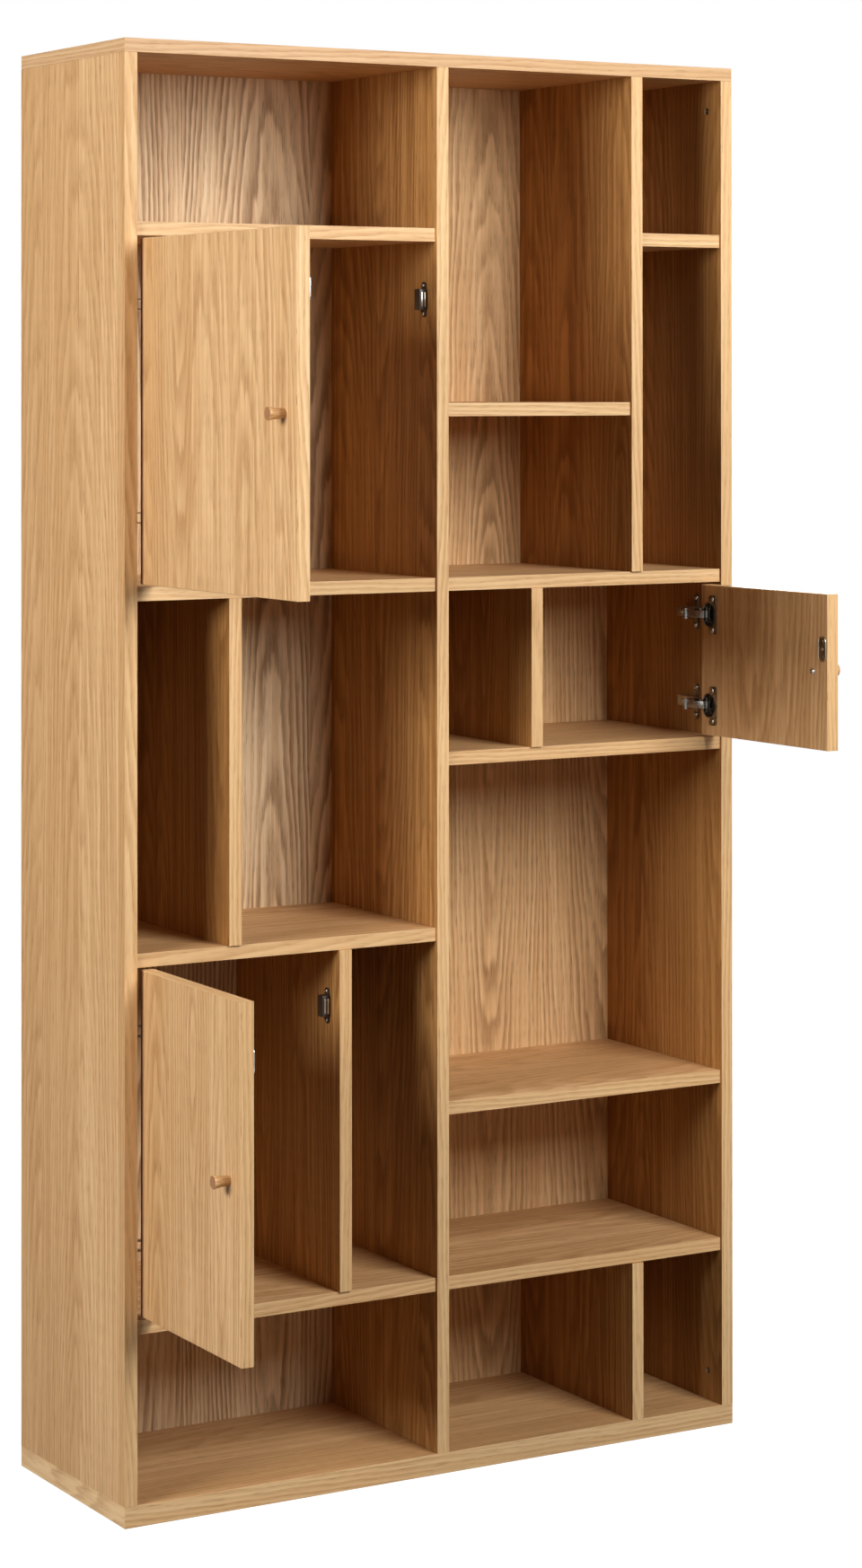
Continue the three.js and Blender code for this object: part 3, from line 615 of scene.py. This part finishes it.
def eye(place, inner, outer):
    """A ring about an upright pin at a place in the hinge's plan, as a (mesh, matrix) pair."""
    half, ease = LINK_HEIGHT / 2, 0.4
    section = [(inner, -half), (outer - ease, -half), (outer, -half + ease), (outer, half - ease),
               (outer - ease, half), (inner, half)]
    return turned(section, 32, ring=True), at(*place, 0)


def strip(start, end):
    """An upright flat bar between two places in the hinge's plan, as a (mesh, matrix) pair."""
    way = Vector((end[0] - start[0], end[1] - start[1], 0))
    bar = brick((way.length, LINK_THICKNESS, LINK_HEIGHT), 0.35)
    turn = Matrix.Rotation(math.atan2(way.y, way.x), 4, "Z")
    return bar, at((start[0] + end[0]) / 2, (start[1] + end[1]) / 2, 0) @ turn


def hinge_link():
    """The bent link between the arm's pin and the cup's pin, in the hinge's plan."""
    half = LINK_HEIGHT / 2
    from_arm = (Vector(LINK_ELBOW) - Vector(ARM_PIVOT)).normalized()
    from_cup = (Vector(LINK_ELBOW) - Vector(CUP_PIVOT)).normalized()
    bend = turned([(0, -half), (LINK_BEND, -half), (LINK_BEND, half), (0, half)], 16)
    return gathered(eye(ARM_PIVOT, *ARM_EYE), eye(CUP_PIVOT, *CUP_EYE),
                    strip(Vector(ARM_PIVOT) + from_arm * ARM_BAR_START, LINK_ELBOW),
                    strip(Vector(CUP_PIVOT) + from_cup * CUP_BAR_START, LINK_ELBOW),
                    (bend, at(*LINK_ELBOW, 0)))


def hinge_arm():
    """The cranked channel arm with its pin, on the foot of its mounting plate, in the hinge's plan."""
    cheek = [(3, 93), (14.6, 93), (14.6, 50), (46.0, 34.0), (46.0, 27.3), (39.6, 27.3), (8, 36.2), (3, 46)]
    rounding = [(1, 1.5), (2, 5), (3, 2.4), (4, 2.8), (5, 3), (6, 8), (7, 5)]
    cheeks = [(plate(cheek, 1.5, rounding, 0.3), at(0, 0, z)) for z in (6, -7.5)]
    web = brick((1.5, 43, 15), 0.6), at(14.25, 72, 0)
    heel = brick((12, 1.5, 13), 0.4), at(9, 93.2, 0)
    foot = brick((4.3, 44, 14.8), 0.5), at(2.15, 71.3, 0)
    rib = brick((1.1, 14, 5.4), 0.5), at(15.2, 68.5, 0)
    pin = turned([(0, -8), (1.7, -8), (2.1, -7.6), (1.4, -7.2), (1.4, 7.2), (2.1, 7.6), (1.7, 8), (0, 8)], 32)
    return gathered(*cheeks, web, heel, foot, rib, (pin, at(*ARM_PIVOT, 0)))


def plate_wings():
    """The mounting plate's two wings with a raised ring about each screw."""
    def ring():
        return turned([(0, 2.4), (5.2, 2.4), (5.0, PLATE_SCREW_SEAT), (0, PLATE_SCREW_SEAT)], 36)
    return gathered((oblong(53, 13, 2.6, 0.5), at(0, 0, 0)), *both_ways(ring, 0, PLATE_SCREW_APART / 2, 0))


def arm_screws():
    """The mounting plate's two screws and the arm's two, all with their heads along Z."""
    screws = both_ways(fixing_screw, 0, PLATE_SCREW_APART / 2, PLATE_SCREW_SEAT)
    return gathered(*screws, *[(fixing_screw(), at(along, 0, ARM_SCREW_SEAT)) for along in ARM_SCREWS])


def knob():
    """A tapered knob with a soft edge, standing out along Z."""
    return turned([(0, 11), (1.9, 11), (1.9, 0), (6.2, 0), (6.5, 0.3), (6.7, 4), (7.1, 12), (7.9, 17.5),
                   (8.8, 20.6)] + arc(1.2, 0, 90, 6, (7.8, 22.2)) + [(6.2, 23.62), (3.2, 23.9), (0, 24)], 64)


def strike_rim():
    """The strike plate's oblong rim, long in Y, with its face pressed in."""
    rim = oblong(STRIKE_LENGTH, STRIKE_WIDTH, STRIKE_THICKNESS, 0.3)
    top = max(rim.faces, key=lambda f: (round(f.calc_center_median().z, 7), f.calc_area()))
    bmesh.ops.inset_region(rim, faces=[top], thickness=STRIKE_RIM * MM, depth=0)
    bmesh.ops.translate(rim, verts=top.verts[:], vec=(0, 0, -STRIKE_SINK * MM))
    return rim


def strike_face():
    """The strike plate's sunk face with a dimple near each end."""
    def dimple():
        return turned([(0, 1.5), (2.5, 1.5), (2.1, 1.75), (1.5, 1.55), (0, 1.55)], 28)
    face = oblong(STRIKE_LENGTH - STRIKE_FACE_MARGIN, STRIKE_WIDTH - STRIKE_FACE_MARGIN, 0.5, 0.1)
    return gathered((face, at(0, 0, STRIKE_FACE)), *both_ways(dimple, 0, DIMPLES_APART / 2, 0))


def catch_body():
    """The moulded catch with its two ears, seated on z = 0 and long in Y. Its front faces -X."""
    body = brick((16, 30, 13), 1.6), at(CATCH_HALF_DEPTH, 0, CATCH_MIDDLE)
    ears = oblong(50, 10.5, CATCH_EAR, 0.6), at(CATCH_HALF_DEPTH, 0, 0)
    lip = brick((1.2, 24, 9.6), 0.4), at(0.1, 0, CATCH_MIDDLE)
    return gathered(body, ears, lip)


def catch_poles():
    return gathered(*[(brick((2 * POLE_REACH, 21, POLE_THICKNESS), 0.3),
                       at(0, 0, CATCH_MIDDLE + POLE_THICKNESS * side)) for side in (1, -1)])


def catch_screws():
    return gathered(*both_ways(lambda: screw_head(3.2, SCREW_RISE), CATCH_HALF_DEPTH, CATCH_SCREW_APART / 2,
                               CATCH_EAR))


def connector():
    """A round connector, its face on z = 0, hollow in the middle."""
    return turned([(0, -8), (5, -8), (5, -0.5), (4.6, 0), (3.4, 0), (3.0, -0.5), (2.7, -3.4), (0, -3.4)], 40)


def fit_hinge(door, end, mouth, plan):
    """One hinge. mouth places its cup, and plan places what is drawn in the hinge's plan."""
    cup_node, arm_node = f"{door}_{end}_hinge_cup", f"{door}_{end}_hinge_arm"
    # The cup, its flange and the plate wings take the darker nickel, which is painted shade.
    piece(f"{door}_{end}_cup_and_flange", hinge_cup(), mouth, door, NICKEL_PAINTED_SHADE, [cup_node])
    piece(f"{door}_{end}_cup_screws", cup_screws(), mouth, door, BRIGHT_STEEL_AND_HIGHLIGHT, [cup_node])
    piece(f"{door}_{end}_bent_link", hinge_link(), plan, f"{door}_links", NICKEL,
          [f"{door}_{end}_link"])
    piece(f"{door}_{end}_channel_arm", hinge_arm(), plan, "carcass", ZINC, [arm_node])
    outward = plan @ at(0, PLATE_DISTANCE, 0) @ TO_SIDE @ QUARTER_TURN
    piece(f"{door}_{end}_plate_wings", plate_wings(), outward, "carcass", NICKEL_PAINTED_SHADE, [arm_node])
    piece(f"{door}_{end}_arm_screws", arm_screws(), outward, "carcass", BRIGHT_STEEL_AND_HIGHLIGHT, [arm_node])


def fit_door(door, hand, bay, foot, head, hinge_inset):
    """All the hardware of one door. hand is 1 for a door hung on its left and -1 on its right."""
    middle = (foot + head) / 2
    half_height = (head - foot) / 2 - END_GAP
    door_width = bay - HINGE_GAP - CLOSING_GAP
    side_face = -hand * INNER_HALF
    mirror = Matrix.Diagonal((hand, 1, 1, 1))
    leaf = (at(side_face + hand * CUP_PIVOT[0], FRONT + CUP_PIVOT[1], middle)
            @ Matrix.Rotation(math.radians(-hand * OPEN_ANGLE), 4, "Z") @ mirror)
    inner, outer = CUP_PIVOT_DEPTH + SEAT_PLAY, CUP_PIVOT_DEPTH - BOARD - SEAT_PLAY

    def on_leaf(across, depth, height):
        return leaf @ at(across - CUP_PIVOT_INSET, depth, height)

    for end, height in (("lower", -half_height + hinge_inset), ("upper", half_height - hinge_inset)):
        fit_hinge(door, end, on_leaf(CUP_IN, inner, height) @ TO_BACK,
                  at(side_face, FRONT, middle + height) @ mirror)

    knob_in, strike_height = door_width - KNOB_INSET, half_height - STRIKE_DROP
    piece(f"{door}_turned_knob", knob(), on_leaf(knob_in, outer, 0) @ TO_FRONT, door,
          knob_finish(f"{door}_knob_oak", middle * 0.01), [f"{door}_knob"])
    piece(f"{door}_knob_screw_head", screw_head(5, 3, 0.45, 0.12), on_leaf(knob_in, inner, 0) @ TO_BACK, door,
          BRIGHT_STEEL_AND_HIGHLIGHT, [f"{door}_knob_screw"])
    strike_in = door_width - STRIKE_FROM_EDGE - STRIKE_WIDTH / 2
    strike_place = on_leaf(strike_in, inner, strike_height) @ TO_BACK
    strike_node, catch_node = f"{door}_strike_plate", f"{door}_catch"
    catch_place = (at(side_face + hand * bay, FRONT + CATCH_FRONT, middle + strike_height)
                   @ Matrix.Diagonal((-hand, 1, 1, 1)) @ TO_SIDE @ QUARTER_TURN)
    # The strike plate is one stamped plate: its rim in bright metal is a painted highlight, and its sunk face
    # in the darker nickel is painted shade.
    piece(f"{door}_strike_rim", strike_rim(), strike_place, door, BRIGHT_STEEL_AND_HIGHLIGHT, [strike_node])
    piece(f"{door}_strike_face", strike_face(), strike_place, door, NICKEL_PAINTED_SHADE, [strike_node])
    piece(f"{door}_strike_screw", screw_head(2.6, 0.6), strike_place @ at(0, 0, STRIKE_SCREW_SEAT), door,
          BRIGHT_STEEL_AND_HIGHLIGHT, [strike_node])
    piece(f"{door}_catch_body", catch_body(), catch_place, "carcass", CATCH_BROWN,
          [catch_node])
    piece(f"{door}_catch_poles", catch_poles(), catch_place, "carcass", BRIGHT_STEEL_AND_HIGHLIGHT, [catch_node])
    piece(f"{door}_catch_screws", catch_screws(), catch_place, "carcass", BRIGHT_STEEL_AND_HIGHLIGHT, [catch_node])


fit_door("upper_door", 1, INNER_HALF - HALF_BOARD, row_top(5), row_under(7), TALL_HINGE_INSET)
fit_door("lower_door", 1, DOOR_BAY, row_top(1), row_under(3), TALL_HINGE_INSET)
fit_door("small_door", -1, DOOR_BAY, row_top(4), row_under(5), SMALL_HINGE_INSET)

for side_name, side in (("left", -1), ("right", 1)):
    for end_name, z in (("top", HEIGHT - BOARD - FITTING_HEIGHT), ("bottom", BOTTOM_BOARD + FITTING_HEIGHT)):
        place = (at(side * (INNER_HALF + FITTING_SUNK), FRONT + FITTING_DEPTH, z)
                 @ Matrix.Rotation(math.radians(-90 * side), 4, "Y"))
        name, node = f"{side_name}_{end_name}_connector", f"{side_name}_{end_name}_fitting"
        # The connector takes the darker nickel as painted shade.
        piece(name, connector(), place, "carcass", NICKEL_PAINTED_SHADE, [node])
        piece(f"{name}_screw", screw_head(2.4, 1.2), place @ at(0, 0, FITTING_SCREW_SEAT), "carcass", BRIGHT_STEEL_AND_HIGHLIGHT,
              [node])


# ---------------------------------------------------------------- camera
# Fitted to the edges in the photo
CAMERA_PLACE = (-2642.98 * MM, -4677.93 * MM, 1536.85 * MM)
CAMERA_YAW, CAMERA_TILT, CAMERA_ROLL = (math.radians(a) for a in (30.7555, 0.3031, -0.0341))
PICTURE = (960, 1746)
FOCAL_PIXELS = 4126.47
CENTRE_PIXEL = (520.0, 403.5)
SENSOR = 36

camera_data = bpy.data.cameras.new("camera")
camera = bpy.data.objects.new("camera", camera_data)
scene.collection.objects.link(camera)
scene.camera = camera
ahead = Vector((math.sin(CAMERA_YAW) * math.cos(CAMERA_TILT),
                math.cos(CAMERA_YAW) * math.cos(CAMERA_TILT), math.sin(CAMERA_TILT)))
right = Vector((math.cos(CAMERA_YAW), -math.sin(CAMERA_YAW), 0))
up = right.cross(ahead)
level_right = math.cos(CAMERA_ROLL) * right + math.sin(CAMERA_ROLL) * up
level_up = math.cos(CAMERA_ROLL) * up - math.sin(CAMERA_ROLL) * right
turn = Matrix((level_right, level_up, -ahead)).transposed().to_4x4()
camera.matrix_world = Matrix.Translation(CAMERA_PLACE) @ turn
camera_data.sensor_width = SENSOR
camera_data.lens = SENSOR * FOCAL_PIXELS / PICTURE[1]
camera_data.shift_x = (PICTURE[0] / 2 - CENTRE_PIXEL[0]) / PICTURE[1]
camera_data.shift_y = (CENTRE_PIXEL[1] - PICTURE[1] / 2) / PICTURE[1]
camera_data.clip_end = 60

# ---------------------------------------------------------------- light, floor and world
scene.view_settings.view_transform = "Standard"


def area_lamp(name, place, target, size, power):
    """A rectangular soft lamp, in metres and watts."""
    data = bpy.data.lights.new(name, "AREA")
    data.shape = "RECTANGLE"
    data.size, data.size_y = size
    data.energy = power
    lamp = bpy.data.objects.new(name, data)
    scene.collection.objects.link(lamp)
    lamp.location = place
    lamp.rotation_euler = (Vector(target) - Vector(place)).to_track_quat("-Z", "Y").to_euler()


area_lamp("key_softbox", (0.75, -2.95, 2.6), (0.0, 0.0, 1.3), (1.5, 1.9), 106)
area_lamp("side_softbox", (-4.0, -0.98, 2.28), (-0.4, -0.1, 1.3), (2.1, 1.2), 151)
area_lamp("rear_softbox", (2.6, 3.6, 2.2), (0.2, 0.1, 1.1), (1.6, 1.6), 95)

WHITE = (1, 1, 1, 1)
AMBIENT = 0.006
MIRRORED_SHARE = 0.45


def mixed_shader(n, share, first, second, output):
    """Mixes two shaders into an output's surface."""
    mixed = n.add("ShaderNodeMixShader")
    for socket, value in zip(mixed.inputs, (share, first.outputs[0], second.outputs[0])):
        n.feed(socket, value)
    n.feed(output.inputs["Surface"], mixed.outputs[0])


def white_world():
    """A white background for the camera, greyer in mirrored metal, and almost no light from it."""
    world = bpy.data.worlds.new("studio")
    scene.world = world
    world.use_nodes = True
    n = Nodes(world.node_tree)
    path = n.add("ShaderNodeLightPath").outputs
    seen = n.math("MAXIMUM", path["Is Camera Ray"],
                  n.math("MAXIMUM", path["Is Glossy Ray"], path["Is Transmission Ray"]))
    plain = world.node_tree.nodes["Background"]
    plain.inputs["Color"].default_value = WHITE
    plain.inputs["Strength"].default_value = AMBIENT
    white = n.add("ShaderNodeBackground", Color=WHITE,
                  Strength=n.remap(path["Is Camera Ray"], 0.0, 1.0, MIRRORED_SHARE, 1.0))
    mixed_shader(n, seen, plain, white, world.node_tree.nodes["World Output"])


white_world()

FLOOR_HALF, FLOOR_DROP = 20, 0.0006
FLOOR_BOUNCE = (0.14, 0.135, 0.13, 1)
FLOOR_SEEN = (0.8, 0.8, 0.8, 1)
FLOOR_GLOW, GLOW_SHARE = 1.42, 0.7


def white_floor():
    """A floor that the camera sees as white with soft shadows, and that sends little light up."""
    mesh = bmesh.new()
    bmesh.ops.create_grid(mesh, x_segments=1, y_segments=1, size=FLOOR_HALF,
                          matrix=Matrix.Translation((0, 0, -FLOOR_DROP)))
    data = bpy.data.meshes.new("floor")
    mesh.to_mesh(data)
    mesh.free()
    material, n, shader = new_material("floor_white")
    shader.inputs["Roughness"].default_value = 0.9
    shader.inputs["Specular IOR Level"].default_value = 0.1
    glow = n.add("ShaderNodeEmission", Color=WHITE, Strength=FLOOR_GLOW)
    path = n.add("ShaderNodeLightPath").outputs
    seen = n.math("MAXIMUM", path["Is Camera Ray"], n.math("MULTIPLY", path["Is Glossy Ray"], MIRRORED_SHARE))
    n.feed(shader.inputs["Base Color"], n.blend(seen, FLOOR_BOUNCE, FLOOR_SEEN))
    mixed_shader(n, n.math("MULTIPLY", seen, GLOW_SHARE), shader, glow,
                 material.node_tree.nodes["Material Output"])
    data.materials.append(material)
    plane = bpy.data.objects.new("floor", data)
    scene.collection.objects.link(plane)
    return plane


floor = white_floor()
